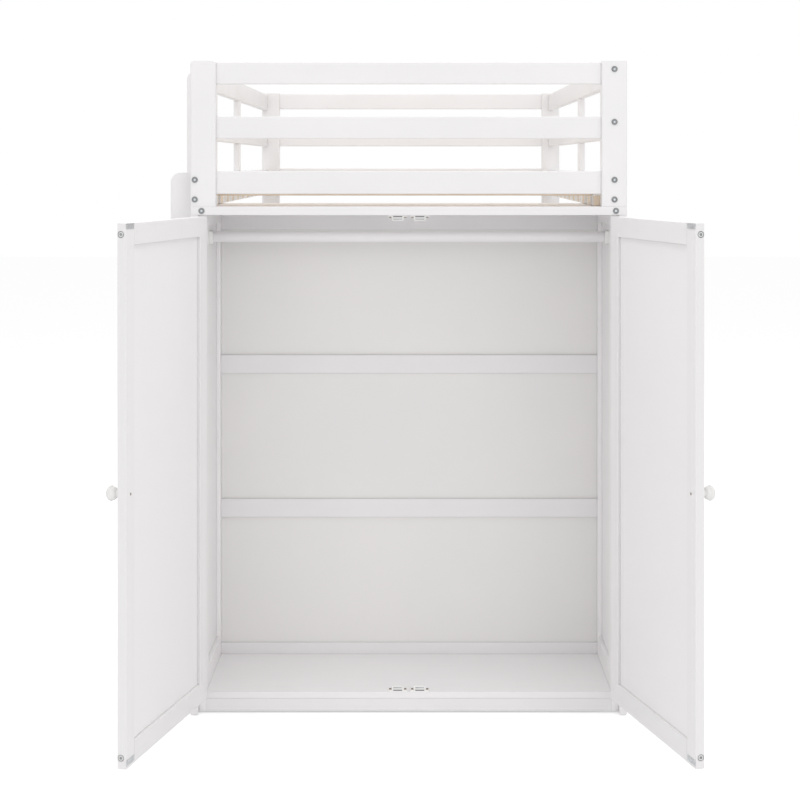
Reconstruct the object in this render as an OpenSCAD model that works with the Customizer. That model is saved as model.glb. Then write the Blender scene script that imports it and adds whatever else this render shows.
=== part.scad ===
// Loft bed: a slatted deck with guard rails over a two-door wardrobe, with a side ladder.
// X runs across the bed, Y along it from the wardrobe doors to the far end, and Z up.
// Inside place(), Y is counted from the front faces of the front posts.

/* [Bed frame] */
// Width over the posts
bed_w = 1066; // [960:1:1300]
// Length over the posts
bed_l = 2036; // [1940:1:2250]
// Height of the post tops above the wardrobe
guard_rise = 355.5; // [330:0.5:500]
// Width of a post across the bed
post_w = 62; // [54:1:76]
// Depth of a post along the bed
post_d = 42; // [38:1:52]
// Rounding of the long edges of a post
post_edge_r = 4; // [1:0.5:7]
// Rounding of the top corners of the post beside the entry
entry_post_r = 10; // [3:0.5:18]
// Rounding of the top corners of the other posts
post_top_r = 2; // [1:0.5:8]
// Rounding under the feet
foot_r = 6; // [1:0.5:8]

/* [Rails] */
// Height of the top and middle end rails
end_rail_h = 54; // [40:1:64]
// Height of the low end rail
low_rail_h = 56; // [40:1:70]
// Thickness of an end rail
rail_t = 22; // [18:1:28]
// Thickness of the boards along the sides
board_t = 17; // [16:0.5:22]
// Distance from a post's outer face in to the boards on the ladder's side
left_inset = 2.5; // [1:0.5:8]
// Distance from a post's outer face in to the boards on the other side
right_inset = 22.5; // [12:0.5:26]
// Rounding of the long edges of boards
board_edge_r = 3; // [1:0.5:6]
// Distance from the post tops down to the top end rail
top_rail_drop = 2; // [0:0.5:12]
// Height of the low end rail's top above the bed rails
low_rail_rise = 4; // [0:0.5:12]
// Height of a bed rail, the board that carries the slats
bed_rail_h = 82.5; // [76:0.5:110]
// Height of a guard board along the side
guard_h = 57; // [40:1:64]
// Distance from the top end rail down to the top guard board
guard_drop = 3; // [0:0.5:12]
// Width of a baluster along the bed
baluster_w = 50; // [30:1:80]
// Distance that the right balusters stand forward of the middle
right_baluster_shift = 167; // [0:1:250]
// Height of the lower stretchers above the ground
stretcher_z = 150; // [60:1:400]

/* [Slats] */
// Number of slats
slat_n = 14; // [8:1:18]
// Width of a slat along the bed
slat_w = 65; // [50:1:80]
// Thickness of a slat
slat_t = 18; // [14:0.5:22]
// Depth of the slat tops below the tops of the bed rails
slat_depth = 39; // [30:1:44]
// Bare length of deck between a post and the first slat
slat_margin = 33; // [24:1:60]
// Depth of the ledge under the slats' left ends
left_ledge_d = 21.5; // [16:0.5:30]
// Depth of the ledge under the slats' right ends
right_ledge_d = 35.5; // [16:0.5:40]
// Length of a slat holder along the bed
holder_l = 85; // [76:0.5:100]
// Thickness of a slat holder's plate
holder_t = 2; // [1.5:0.1:4]
// Height of a holder's cheeks beside the slat
cheek_h = 10; // [5:0.5:14]

/* [Ladder] */
// Clear width between the stringers
ladder_clear = 283; // [250:1:400]
// Width of a stringer across the bed
stringer_w = 56.5; // [45:0.5:90]
// Thickness of a stringer
stringer_t = 24; // [20:1:30]
// Rounding of a stringer's outer top corner
stringer_r = 25; // [5:1:40]
// Gap between the entry post and the near stringer
ladder_gap = 2; // [1:0.5:8]
// Number of steps below the deck
step_n = 4; // [3:1:5]
// Thickness of a step
step_t = 22; // [18:1:30]
// Depth of the housing that a step's end sits in
step_housing = 6; // [3:0.5:10]

/* [Wardrobe] */
// Height of the wardrobe
ward_h = 1241.5; // [1000:0.5:1500]
// Depth of the wardrobe behind the front posts' faces
ward_d = 369; // [320:1:520]
// Thickness of the leg that runs down beside the wardrobe
leg_t = 19; // [15:1:24]
// Thickness of a side frame
side_t = 17; // [16:0.5:24]
// Width of a side's front stile
front_stile_w = 60; // [40:1:80]
// Width of a side's rear stile
rear_stile_w = 36; // [28:1:60]
// Height of a side's top rail
side_rail_h = 48; // [36:1:70]
// Height of a side's base rail
side_base_h = 96; // [60:1:120]
// Height of the side frames and the plinth above the ground
plinth_gap = 5; // [2:0.5:12]
// Height of the front strip and thickness of the top board
top_t = 21; // [17:0.5:30]
// Distance from the strip's end to the post's outer face
strip_inset = 4; // [3:0.5:8]
// Thickness of the side and back panels
panel_t = 4; // [3:0.5:5]
// Depth of a side panel's face behind its frame's inner face
side_recess = 10.5; // [7:0.5:10.5]
// Depth of a back panel's face behind the back rails
back_recess = 8; // [4:0.5:10]
// Depth of the grooves that hold panels
groove_depth = 7; // [4:0.5:9]
// Height of a back rail
back_rail_h = 48; // [36:1:70]
// Thickness of a back rail
back_t = 17; // [15:0.5:24]
// Height of the lowest back rail above the ground
back_rail_z = 32.5; // [20:0.5:60]
// Height of the wardrobe floor's upper face
floor_z = 51; // [40:0.5:80]
// Thickness of the wardrobe floor
floor_t = 16; // [12:0.5:20]
// Thickness of the plinth board
plinth_t = 16; // [12:0.5:20]
// Diameter of the hanging rod
rod_d = 28; // [20:0.5:34]
// Depth of the rod's centre below the wardrobe top
rod_drop = 81.5; // [70:0.5:140]
// Wall of a rod socket
socket_wall = 4; // [3:0.5:8]
// Length of a rod socket across the wardrobe
socket_l = 10; // [6:0.5:20]

/* [Doors] */
// Thickness of a door
door_t = 20; // [18:0.5:24]
// Height of the door bottoms above the ground
door_z = 44; // [30:0.5:48]
// Gap between a door and the strip above it
door_top_gap = 2.5; // [1.5:0.5:6]
// Gap between the two closed doors
door_mid_gap = 3; // [2:0.5:6]
// Gap between a closed door and the wardrobe's front edges
door_stop_gap = 1.5; // [1.5:0.1:3]
// Width of a door stile
door_stile_w = 48; // [40:1:70]
// Height of a door rail
door_rail_h = 48; // [40:1:80]
// Thickness of a door panel
door_panel_t = 6; // [4:0.5:8]
// Rounding of the long edges of door members
door_edge_r = 1.2; // [0.5:0.1:3]
// Angle of the left door, open from closed
left_angle = 103; // [80:0.5:110]
// Angle of the right door, open from closed
right_angle = 104.5; // [80:0.5:110]
// Height of the knobs above the ground
knob_z = 632; // [400:1:900]
// Distance from a door's free edge to its knob's centre
knob_inset = 25; // [20:1:44]
// Diameter of a knob
knob_d = 34; // [24:0.5:44]
// Projection of a knob
knob_l = 35; // [28:0.5:42]
// Diameter of a knob's foot
knob_foot_d = 20; // [16:0.5:26]
// Diameter of a knob's neck
knob_neck_d = 16; // [10:0.5:18]
// Height of a knob's domed head above its rim
knob_dome = 12; // [6:0.5:16]
// Length of a strike plate
strike_l = 43; // [30:1:46]
// Height of a strike plate
strike_h = 12; // [8:0.5:16]
// Thickness of a strike plate
strike_t = 1; // [0.6:0.1:1]
// Distance from a closed door's end to its strike plate
strike_inset = 0.5; // [0.5:0.1:3]

/* [Hinges and fasteners] */
// Number of hinges on a door
hinge_n = 3; // [2:1:4]
// Distance from a door's end to the middle of the nearest hinge
hinge_inset = 110; // [80:1:200]
// Height of a hinge
hinge_h = 50; // [40:1:76]
// Width of a hinge leaf
leaf_w = 18; // [12:0.5:18]
// Thickness of a hinge leaf
leaf_t = 0.85; // [0.6:0.05:0.85]
// Gap between a closed door's edge and the leg
hinge_gap = 2; // [2:0.1:3]
// Radius of a hinge knuckle
knuckle_r = 2.8; // [2.4:0.1:2.8]
// Radius of a hinge pin
pin_r = 1.2; // [1:0.1:1.4]
// Radius of a bolt head
head_r = 7.3; // [6:0.1:7.5]
// Thickness of a bolt head
head_t = 2.2; // [1.5:0.1:3]
// Radius of a bolt's shank
bolt_r = 3; // [2.5:0.1:4]
// Length of a frame bolt beyond the middle of its nut
bolt_past = 7; // [5:0.5:20]
// Radius of a barrel nut
nut_r = 5; // [4.8:0.1:6]
// Distance from a rail's end to its barrel nut
nut_inset = 26; // [18:1:26]
// Distance between the two bolts of a bed rail
bolt_spread = 48; // [40:1:56]
// Depth of a guard board's bolt below its top edge
guard_bolt_drop = 15; // [12:0.5:20]
// Distance from a door's outer face to its bolts
door_bolt_y = 8; // [8:0.5:10]
// Length of a door bolt below its head
door_bolt_l = 70; // [60:1:90]
// Length of the bolts that hold the strip
strip_bolt_l = 60; // [40:1:60]
// Length of a ladder bolt in its stringer
ladder_bolt_in = 38; // [25:1:40]
// Clearance round bolts, nuts, screws and panels
fit_gap = 0.2; // [0.1:0.05:0.4]

/* [Catches] */
// Distance from the middle of the wardrobe to a catch's centre
catch_x = 27; // [27:0.5:40]
// Width of a catch's body
catch_w = 28; // [20:0.5:29]
// Height of a catch's body
catch_h = 14.5; // [12:0.5:16]
// Depth of a catch's body
catch_d = 14; // [10:0.5:20]
// Length of a catch's screw ear
ear_l = 9; // [7.5:0.5:12]
// Thickness of a screw ear
ear_t = 4.5; // [2:0.1:6]
// Radius of a small screw's head
screw_head_r = 3; // [2:0.1:3.5]
// Radius of a small screw's shank
screw_r = 1.5; // [1:0.1:1.8]
// Thickness of a small screw's head
screw_head_t = 0.9; // [0.6:0.1:1.2]
// Length of a small screw in wood
screw_in = 10; // [6:1:12]
// Height of a catch screw's rounded head
pan_h = 2.5; // [1.5:0.1:3.5]

/* [Hidden] */
$fn = 32;
eps = 1;

white = [0.95, 0.95, 0.95];
pale = [0.9, 0.9, 0.9];
pine = [0.87, 0.72, 0.53];
zinc = [0.62, 0.64, 0.66];
plastic = [0.82, 0.82, 0.8];

half_w = bed_w / 2;
bed_h = ward_h + guard_rise;
post_in = half_w - post_w;
leg_in = half_w - leg_t;
side_in = leg_in - side_t;
front_y = door_t + door_stop_gap;
strip_z = ward_h - top_t;
strip_half = half_w - strip_inset;
bolt_l = post_d + nut_inset + bolt_past;

// Rails and guards
rail_y = (post_d - rail_t) / 2;
left_out = -half_w + left_inset;
right_out = half_w - right_inset;
left_rail_x = left_out + board_t / 2;
right_rail_x = right_out - board_t / 2;
left_rail_in = left_out + board_t;
right_rail_in = right_out - board_t;
bed_rail_z = ward_h;
bed_rail_mid = bed_rail_z + bed_rail_h / 2;
top_rail_z = bed_h - top_rail_drop - end_rail_h;
low_rail_z = bed_rail_z + bed_rail_h + low_rail_rise - low_rail_h;
middle_rail_z = (low_rail_z + low_rail_h + top_rail_z - end_rail_h) / 2;
top_guard_z = bed_h - top_rail_drop - guard_drop - guard_h;
middle_guard_z = middle_rail_z + (end_rail_h - guard_h) / 2;

// Ladder
near_y = post_d + ladder_gap;
far_y = near_y + stringer_t + ladder_clear;
stringer_out = left_out - stringer_w;
guard_top = top_guard_z + guard_h;

// Slats
slat_z = bed_rail_z + bed_rail_h - slat_depth - slat_t;
slat_pitch = (bed_l - 2 * post_d - 2 * slat_margin - slat_w) / (slat_n - 1);
deck_z = slat_z + slat_t;
step_rise = deck_z / (step_n + 1);
slat_gap = 1;
ledge_gap = 1;
holder_gap = 0.5;

// Doors, in their own frame: the hinge axis is the origin and the closed door runs along +X
knuckle_clear = 0.2;
hinge_y = knuckle_r + knuckle_clear;
hinge_x = leg_in - hinge_gap / 2;
door_x0 = hinge_gap / 2;
door_w = hinge_x - door_x0 - door_mid_gap / 2;
door_x1 = door_x0 + door_w;
door_y1 = hinge_y + door_t;
door_top = strip_z - door_top_gap;
door_h = door_top - door_z;
door_rail_x0 = door_x0 + door_stile_w;
door_rail_x1 = door_x1 - door_stile_w;
door_panel_y = hinge_y + (door_t - door_panel_t) / 2;
hinge_pitch = (door_h - 2 * hinge_inset) / (hinge_n - 1);
knuckle_l = hinge_h / 3;
knuckle_gap = 0.3;
pin_gap = 0.05;
leaf_gap = hinge_gap / 2 - leaf_t;
leaf_clear = 0.5;
leaf_y0 = knuckle_r + leaf_clear;

// Reach of an open door in front of the posts, which sets where Y = 0 lies
function reach(a) = hinge_y + door_x1 * sin(a) - (door_y1 + strike_t) * cos(a);
origin_y = (bed_l + head_t - max(reach(left_angle), reach(right_angle))) / 2;

// Panels
side_panel_x = side_in + side_recess;
back_y = ward_d - back_t;
back_panel_y = back_y + back_recess;
side_rail_y0 = front_y + front_stile_w;
side_rail_y1 = ward_d - rear_stile_w;
side_base_top = plinth_gap + side_base_h;
side_rail_z = ward_h - side_rail_h;
back_top = strip_z;
back_rail_n = 4;
back_pitch = (back_top - back_rail_h - back_rail_z) / (back_rail_n - 1);

// Rod
rod_y = (front_y + back_y) / 2;
rod_z = ward_h - rod_drop;
rod_gap = 0.3;
rod_end_gap = 3;
rod_half = side_panel_x - rod_end_gap;

// Bolts as [x, z] on the front or rear faces of the posts
bed_bolt_z = [for (s = [-1, 1]) bed_rail_mid + s * bolt_spread / 2];
guard_bolt_z = [middle_guard_z + guard_h - guard_bolt_drop, top_guard_z + guard_h - guard_bolt_drop];
stretcher_mid = stretcher_z + end_rail_h / 2;
left_bed_bolts = [for (z = bed_bolt_z) [left_rail_x, z]];
left_guard_bolts = [for (z = guard_bolt_z) [left_rail_x, z]];
right_bed_bolts = [for (z = bed_bolt_z) [right_rail_x, z]];
right_guard_bolts = [for (z = guard_bolt_z) [right_rail_x, z]];
stretcher_bolts = [[right_rail_x, stretcher_mid]];
front_bolts = concat(left_bed_bolts, right_bed_bolts, right_guard_bolts);
rear_bolts = concat(left_bed_bolts, left_guard_bolts, right_bed_bolts, right_guard_bolts, stretcher_bolts);
strip_bolt_x = (side_in + leg_in) / 2;
strip_bolt_z = strip_z + top_t / 2;

nut_past = 3;
nut_l = board_t / 2 + bolt_r + nut_past;
nut_bore = nut_l + fit_gap + eps;

// Ladder bolts as [y, z], driven from inside the bed rail and the guards
ladder_bolts = [
    [near_y + stringer_t / 2, bed_rail_mid],
    [far_y + stringer_t / 2, (deck_z + bed_rail_z + bed_rail_h) / 2],
    [far_y + stringer_t / 2, middle_guard_z + guard_h / 2],
    [far_y + stringer_t / 2, top_guard_z + guard_h / 2]
];
ladder_bolt_l = board_t + ladder_bolt_in;

module place() {
    translate([0, -origin_y, 0]) children();
}

// Flat outlines
module eased(w, h, r) {
    translate([r, 0]) square([w - 2 * r, h]);
    translate([0, r]) square([w, h - 2 * r]);
    for (x = [r, w - r], y = [r, h - r]) translate([x, y]) circle(r);
}

module round_top(w, h, r) {
    square([w, h - r]);
    translate([r, 0]) square([w - 2 * r, h]);
    for (x = [r, w - r]) translate([x, h - r]) circle(r);
}

// A board between two corners, with its four long edges rounded
module board(lo, hi, axis, r = board_edge_r) {
    s = hi - lo;
    translate(lo) {
        if (axis == "x") rotate([90, 0, 90]) linear_extrude(s.x) eased(s.y, s.z, r);
        if (axis == "y") translate([0, s.y, 0]) rotate([90, 0, 0]) linear_extrude(s.y) eased(s.x, s.z, r);
        if (axis == "z") linear_extrude(s.z) eased(s.x, s.y, r);
    }
}

module block(lo, hi) {
    translate(lo) cube(hi - lo);
}

module both_sides() {
    children();
    mirror([1, 0, 0]) children();
}

// Cylinders from a point along the positive or negative X or Y direction
module rod_y_dir(x, y, z, r, l) {
    translate([x, y, z]) rotate([l > 0 ? -90 : 90, 0, 0]) cylinder(r = r, h = abs(l));
}

module rod_x_dir(x, y, z, r, l) {
    translate([x, y, z]) rotate([0, l > 0 ? 90 : -90, 0]) cylinder(r = r, h = abs(l));
}

// Socket bolt: its head's seat is the origin and its shank runs along +Z
head_bevel = 0.8;
hex_r = 0.42 * head_r;
hex_d = 0.7 * head_t;
module bolt(l) {
    difference() {
        union() {
            translate([0, 0, -head_t]) cylinder(r1 = head_r - head_bevel, r2 = head_r, h = head_bevel);
            translate([0, 0, head_bevel - head_t]) cylinder(r = head_r, h = head_t - head_bevel);
            cylinder(r = bolt_r, h = l);
        }
        translate([0, 0, -head_t - eps]) cylinder(r = hex_r, h = eps + hex_d, $fn = 6);
    }
}

// Posts
module post_bores(bolts, y) {
    for (b = bolts) rod_y_dir(b.x, y - eps, b.y, bolt_r + fit_gap, post_d + 2 * eps);
}

module front_post_blank(top_r) {
    difference() {
        intersection() {
            translate([post_in, 0, 0]) linear_extrude(bed_h) eased(post_w, post_d, post_edge_r);
            translate([0, post_d, 0]) rotate([90, 0, 0]) linear_extrude(post_d) {
                translate([post_in, ward_h]) round_top(post_w, guard_rise, top_r);
                translate([leg_in, ward_h + foot_r]) mirror([0, 1]) round_top(leg_t, ward_h + foot_r, foot_r);
            }
        }
        block([leg_in - eps, -eps, strip_z], [strip_half, front_y, ward_h]);
    }
}

module rear_post_blank() {
    intersection() {
        translate([post_in, bed_l - post_d, 0]) linear_extrude(bed_h) eased(post_w, post_d, post_edge_r);
        translate([post_in, bed_l, 0]) rotate([90, 0, 0]) linear_extrude(post_d) {
            translate([0, bed_h / 2]) round_top(post_w, bed_h / 2, post_top_r);
            translate([0, bed_h / 2]) mirror([0, 1]) round_top(post_w, bed_h / 2, foot_r);
        }
    }
}

module front_left_post() color(white) place() difference() {
    mirror([1, 0, 0]) front_post_blank(entry_post_r);
    post_bores(left_bed_bolts, 0);
}

module front_right_post() color(white) place() difference() {
    front_post_blank(post_top_r);
    post_bores(concat(right_bed_bolts, right_guard_bolts), 0);
}

module rear_left_post() color(white) place() difference() {
    mirror([1, 0, 0]) rear_post_blank();
    post_bores(concat(left_bed_bolts, left_guard_bolts), bed_l - post_d);
}

module rear_right_post() color(white) place() difference() {
    rear_post_blank();
    post_bores(concat(right_bed_bolts, right_guard_bolts, stretcher_bolts), bed_l - post_d);
}

// End rails
module end_rail(y, z, h) {
    color(white) place() board([-post_in, y, z], [post_in, y + rail_t, z + h], "x");
}

rear_rail_y = bed_l - rail_y - rail_t;
module front_top_rail() end_rail(rail_y, top_rail_z, end_rail_h);
module front_middle_rail() end_rail(rail_y, middle_rail_z, end_rail_h);
module front_low_rail() end_rail(rail_y, low_rail_z, low_rail_h);
module rear_top_rail() end_rail(rear_rail_y, top_rail_z, end_rail_h);
module rear_middle_rail() end_rail(rear_rail_y, middle_rail_z, end_rail_h);
module rear_low_rail() end_rail(rear_rail_y, low_rail_z, low_rail_h);

// A board along the side, bored at its ends for bolts and at its inner face for barrel nuts
module side_board(x, y0, z, h, front, rear) {
    y1 = bed_l - post_d;
    inward = x > 0 ? -1 : 1;
    face = x + inward * (board_t / 2 + eps);
    bore_l = bolt_l - post_d + 2 * eps;
    difference() {
        board([x - board_t / 2, y0, z], [x + board_t / 2, y1, z + h], "y");
        for (b = front) {
            rod_y_dir(b.x, y0 - eps, b.y, bolt_r + fit_gap, bore_l);
            rod_x_dir(face, y0 + nut_inset, b.y, nut_r + fit_gap, -inward * nut_bore);
        }
        for (b = rear) {
            rod_y_dir(b.x, y1 + eps, b.y, bolt_r + fit_gap, -bore_l);
            rod_x_dir(face, y1 - nut_inset, b.y, nut_r + fit_gap, -inward * nut_bore);
        }
    }
}

module ladder_bores(from, l) {
    for (b = ladder_bolts) rod_x_dir(from, b.x, b.y, bolt_r + fit_gap, -l);
}

module left_bed_rail() color(white) place() difference() {
    side_board(left_rail_x, post_d, bed_rail_z, bed_rail_h, left_bed_bolts, left_bed_bolts);
    ladder_bores(left_rail_in + eps, board_t + 2 * eps);
}

module right_bed_rail() color(white) place()
    side_board(right_rail_x, post_d, bed_rail_z, bed_rail_h, right_bed_bolts, right_bed_bolts);

module left_guard(z, bolts) {
    color(white) place() difference() {
        side_board(left_rail_x, far_y, z, guard_h, [], bolts);
        ladder_bores(left_rail_in + eps, board_t + 2 * eps);
    }
}

module right_guard(z, bolts) {
    color(white) place() side_board(right_rail_x, post_d, z, guard_h, bolts, bolts);
}

module left_top_guard() left_guard(top_guard_z, [left_guard_bolts[1]]);
module left_middle_guard() left_guard(middle_guard_z, [left_guard_bolts[0]]);
module right_top_guard() right_guard(top_guard_z, [right_guard_bolts[1]]);
module right_middle_guard() right_guard(middle_guard_z, [right_guard_bolts[0]]);

// Short uprights between the boards along a side
module balusters(x, shift) {
    y0 = (bed_l - baluster_w) / 2 - shift;
    y1 = y0 + baluster_w;
    board([x, y0, bed_rail_z + bed_rail_h], [x + board_t, y1, middle_guard_z], "z");
    board([x, y0, middle_guard_z + guard_h], [x + board_t, y1, top_guard_z], "z");
}

module guard_balusters() color(white) place() {
    balusters(left_out, 0);
    balusters(right_rail_in, right_baluster_shift);
}

module lower_stretchers() color(white) place() {
    z = stretcher_z;
    board([-post_in, rear_rail_y, z], [post_in, rear_rail_y + rail_t, z + end_rail_h], "x");
    side_board(right_rail_x, ward_d, z, end_rail_h, [], stretcher_bolts);
}

// Slats, the ledges under their ends and the holders that keep them in place
module slats() color(pine) place()
    for (i = [0:slat_n - 1]) {
        y = post_d + slat_margin + i * slat_pitch;
        board([left_rail_in + slat_gap, y, slat_z], [right_rail_in - slat_gap, y + slat_w, deck_z], "x", 2);
    }

module ledge(x0, x1) {
    z0 = bed_rail_z + ledge_gap;
    difference() {
        block([x0, post_d + ledge_gap, z0], [x1, bed_l - post_d - ledge_gap, slat_z]);
        for (y = [post_d + nut_inset, bed_l - post_d - nut_inset])
            rod_x_dir(x0 - eps, y, bed_bolt_z[0], nut_r + fit_gap, x1 - x0 + 2 * eps);
    }
}

module slat_bearers() color(pine) place() {
    ledge(left_rail_in, left_rail_in + left_ledge_d);
    ledge(right_rail_in - right_ledge_d, right_rail_in);
}

// A plate down the ledge's inner face, with a cheek over the ledge on each side of the slat
module slat_holder(y, plate_x, ledge_x) {
    x0 = min(plate_x, ledge_x);
    x1 = max(plate_x, ledge_x);
    y0 = y - (holder_l - slat_w) / 2;
    y1 = y0 + holder_l;
    block([x0 == plate_x ? x0 : x1 - holder_t, y0, bed_rail_z + ledge_gap],
        [x0 == plate_x ? x0 + holder_t : x1, y1, slat_z]);
    block([x0, y0, slat_z], [x1, y - holder_gap, slat_z + cheek_h]);
    block([x0, y + slat_w + holder_gap, slat_z], [x1, y1, slat_z + cheek_h]);
}

module slat_holders() color(plastic) place()
    for (i = [0:slat_n - 1]) {
        y = post_d + slat_margin + i * slat_pitch;
        slat_holder(y, left_rail_in + left_ledge_d + holder_t, left_rail_in + holder_gap);
        slat_holder(y, right_rail_in - right_ledge_d - holder_t, right_rail_in - holder_gap);
    }

// Ladder
module stringer(y, top, slot_y) {
    color(white) place() difference() {
        intersection() {
            translate([stringer_out, y, 0]) linear_extrude(top) eased(stringer_w, stringer_t, board_edge_r);
            translate([0, y + stringer_t, 0]) rotate([90, 0, 0]) linear_extrude(stringer_t) {
                translate([stringer_out + stringer_r, 0]) square([stringer_w - stringer_r, top]);
                translate([stringer_out, 0]) square([stringer_w, top - stringer_r]);
                translate([stringer_out + stringer_r, top - stringer_r]) circle(stringer_r, $fn = 64);
            }
        }
        for (k = [1:step_n])
            block([stringer_out - eps, slot_y, k * step_rise - step_t - fit_gap],
                [left_out + eps, slot_y + step_housing, k * step_rise + fit_gap]);
        ladder_bores(left_out + eps, ladder_bolt_in + 2 * eps);
    }
}

module ladder_near_stringer() stringer(near_y, bed_rail_z + bed_rail_h, near_y + stringer_t - step_housing);
module ladder_far_stringer() stringer(far_y, guard_top, far_y);

module ladder_steps() color(white) place()
    for (k = [1:step_n]) {
        z = k * step_rise;
        block([stringer_out, near_y + stringer_t - step_housing + fit_gap, z - step_t],
            [left_out, far_y + step_housing - fit_gap, z]);
    }

// Wardrobe sides: frames with panels in grooves, written for the right side
module side_groove() {
    block([side_panel_x - fit_gap, side_rail_y0 - groove_depth, side_base_top - groove_depth],
        [side_panel_x + panel_t + fit_gap, side_rail_y1 + groove_depth, side_rail_z + groove_depth]);
}

module side_stiles() difference() {
    union() {
        board([side_in, front_y, plinth_gap], [leg_in, side_rail_y0, ward_h], "z", door_edge_r);
        board([side_in, side_rail_y1, 0], [leg_in, ward_d, ward_h], "z", door_edge_r);
    }
    side_groove();
    block([side_in - eps, back_panel_y - fit_gap, back_rail_z],
        [side_in + groove_depth, back_panel_y + panel_t + fit_gap, back_top]);
    rod_y_dir(strip_bolt_x, front_y - eps, strip_bolt_z, bolt_r + fit_gap, strip_bolt_l - front_y + 2 * eps);
}

module side_rails() difference() {
    union() {
        board([side_in, side_rail_y0, side_rail_z], [leg_in, side_rail_y1, ward_h], "y", door_edge_r);
        board([side_in, side_rail_y0, plinth_gap], [leg_in, side_rail_y1, side_base_top], "y", door_edge_r);
    }
    side_groove();
}

module side_panel() {
    in = groove_depth - fit_gap;
    block([side_panel_x, side_rail_y0 - in, side_base_top - in],
        [side_panel_x + panel_t, side_rail_y1 + in, side_rail_z + in]);
}

module right_side_stiles() color(white) place() side_stiles();
module right_side_rails() color(white) place() side_rails();
module right_side_panel() color(pale) place() side_panel();
module left_side_stiles() color(white) place() mirror([1, 0, 0]) side_stiles();
module left_side_rails() color(white) place() mirror([1, 0, 0]) side_rails();
module left_side_panel() color(pale) place() mirror([1, 0, 0]) side_panel();

// Wardrobe back: rails with panels in grooves between them
module back_groove(z0, z1) {
    y0 = back_panel_y - fit_gap;
    block([-side_in - eps, y0, z0], [side_in + eps, back_panel_y + panel_t + fit_gap, z1]);
}

module back_rails() color(white) place()
    for (i = [0:back_rail_n - 1]) {
        z0 = back_rail_z + i * back_pitch;
        z1 = z0 + back_rail_h;
        difference() {
            board([-side_in, back_y, z0], [side_in, ward_d, z1], "x", door_edge_r);
            if (i > 0) back_groove(z0 - eps, z0 + groove_depth);
            if (i < back_rail_n - 1) back_groove(z1 - groove_depth, z1 + eps);
        }
    }

module back_panels() color(pale) place()
    for (i = [0:back_rail_n - 2]) {
        in = groove_depth - fit_gap;
        z0 = back_rail_z + i * back_pitch + back_rail_h - in;
        z1 = back_rail_z + (i + 1) * back_pitch + in;
        block([-side_in - in, back_panel_y, z0], [side_in + in, back_panel_y + panel_t, z1]);
    }

module front_strip() color(white) place() difference() {
    board([-strip_half, 0, strip_z], [strip_half, front_y, ward_h], "x", door_edge_r);
    both_sides() rod_y_dir(strip_bolt_x, -eps, strip_bolt_z, bolt_r + fit_gap, front_y + 2 * eps);
}

module wardrobe_top() color(white) place() difference() {
    block([-side_in, front_y, strip_z], [side_in, ward_d, ward_h]);
    catch_bores();
}

module wardrobe_floor() color(white) place() difference() {
    board([-side_in, front_y, floor_z - floor_t], [side_in, back_y, floor_z], "x", door_edge_r);
    catch_bores();
}

module plinth() color(white) place()
    block([-side_in, front_y, plinth_gap], [side_in, front_y + plinth_t, floor_z - floor_t]);

module hanging_rod() color(white) place() rod_x_dir(-rod_half, rod_y, rod_z, rod_d / 2, 2 * rod_half);

// Open cups that the rod drops into from above
module rod_socket() {
    r = rod_d / 2 + rod_gap;
    w = r + socket_wall;
    translate([side_panel_x - socket_l, rod_y, rod_z]) rotate([90, 0, 90]) linear_extrude(socket_l)
        difference() {
            union() {
                circle(w);
                translate([-w, 0]) square([2 * w, r]);
            }
            circle(r);
            translate([-r, 0]) square([2 * r, r + eps]);
        }
}

module rod_sockets() color(plastic) place() both_sides() rod_socket();

// Magnetic catches: bodies with two screw ears, seated on the boards at their local z = 0
module catch() {
    difference() {
        union() {
            block([-catch_w / 2, 0, 0], [catch_w / 2, catch_d, catch_h]);
            block([-catch_w / 2 - ear_l, 0, 0], [catch_w / 2 + ear_l, catch_d, ear_t]);
        }
        at_ears() translate([0, 0, -eps]) cylinder(r = screw_r + fit_gap, h = ear_t + 2 * eps);
        block([-catch_w / 2 + recess_side, -eps, recess_z],
            [catch_w / 2 - recess_side, recess_d, catch_h - recess_rim]);
    }
}

recess_side = 2.75;
recess_z = 2.5;
recess_rim = 2;
recess_d = 1.5;
ear_x = (catch_w + ear_l) / 2;

module at_ears() {
    for (x = [-ear_x, ear_x]) translate([x, catch_d / 2, 0]) children();
}

module at_catches() {
    for (x = [-catch_x, catch_x]) {
        translate([x, front_y, floor_z]) children();
        translate([x, front_y, strip_z]) mirror([0, 0, 1]) children();
    }
}

module catch_bores() {
    l = screw_in + fit_gap;
    at_catches() at_ears() translate([0, 0, -l]) cylinder(r = screw_r + fit_gap, h = l + eps);
}

module magnet_catches() color(plastic) place() at_catches() catch();

// Shoulder and crown of a rounded head, and the cross driven into it
pan_side = 0.6;
pan_crown = 0.7;
cross_w = 0.25;
cross_l = 0.6;
cross_d = 0.45;
module pan_head() {
    side = pan_side * pan_h;
    crown = pan_crown * screw_head_r;
    difference() {
        union() {
            cylinder(r = screw_head_r, h = side);
            translate([0, 0, side]) cylinder(r1 = screw_head_r, r2 = crown, h = pan_h - side);
        }
        for (a = [0, 90]) rotate([0, 0, a]) cross_slot(screw_head_r, pan_h, cross_d * pan_h);
    }
}

module cross_slot(r, top, d) {
    block([-cross_l * r, -cross_w * r / 2, top - d], [cross_l * r, cross_w * r / 2, top + eps]);
}

module catch_screws() color(zinc) place() at_catches() at_ears() translate([0, 0, -screw_in]) {
    cylinder(r = screw_r, h = screw_in + ear_t);
    translate([0, 0, screw_in + ear_t]) pan_head();
}

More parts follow.
